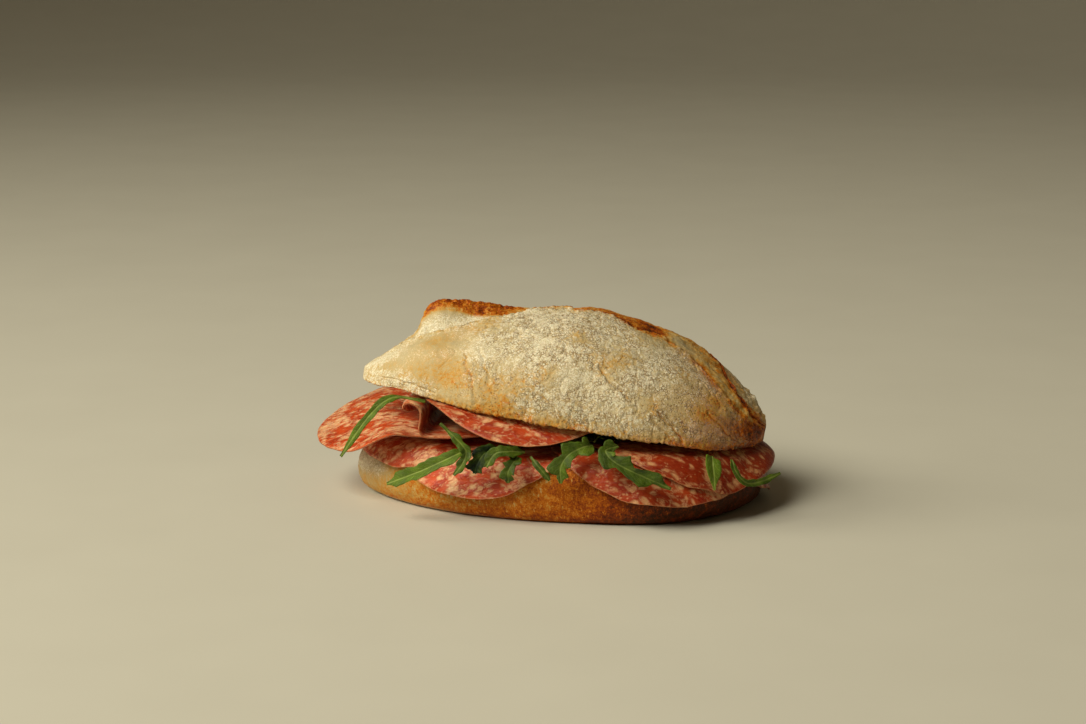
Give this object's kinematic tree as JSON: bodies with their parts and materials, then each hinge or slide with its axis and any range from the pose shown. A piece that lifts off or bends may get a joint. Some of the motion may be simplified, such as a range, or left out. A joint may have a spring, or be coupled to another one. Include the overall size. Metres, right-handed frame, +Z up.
{
  "type": "salami panini",
  "caption": "Crusty roll cut through, its floured and scored top half propped open at one end on folded salami slices and rocket leaves that spill over its edges.",
  "frame": {"origin": "centre of the flat base that the roll lies on", "axes": "+X along the roll to the right as seen from the front, +Y to its back, +Z up"},
  "size_m": [0.1849, 0.111, 0.0753],
  "materials": {
    "crust": "baked crust, golden brown and dusted with flour low down",
    "floured_crust": "baked crust under white flour, toasted along the score",
    "salami": "moist cured meat with grains of fat",
    "leaf": "fresh leaf with a pale midrib",
    "inner_leaf": "fresh leaves in shade"
  },
  "bodies": {
    "root": {"roll_bottom": "crust", "roll_top": "floured_crust", "slice_front_left": "salami", "slice_right_end": "salami", "slice_front_right": "salami", "slice_left_lower": "salami", "slice_front_corner": "salami", "slice_back": "salami", "slice_left_outer": "salami", "slice_left_curled": "salami", "slice_top_front": "salami", "slice_top_back": "salami", "rocket_heap": "inner_leaf", "leaf_left": "leaf", "leaf_lower_left": "leaf", "leaf_stem": "leaf", "leaf_dark": "leaf", "leaf_arched": "leaf", "leaf_middle": "leaf", "leaf_thin": "leaf", "leaf_lobed": "leaf", "leaf_broad": "leaf", "leaf_short": "leaf", "leaf_curled": "leaf", "leaf_back_left": "leaf", "leaf_back_middle": "leaf", "leaf_back_right": "leaf"}
  },
  "joints": []
}
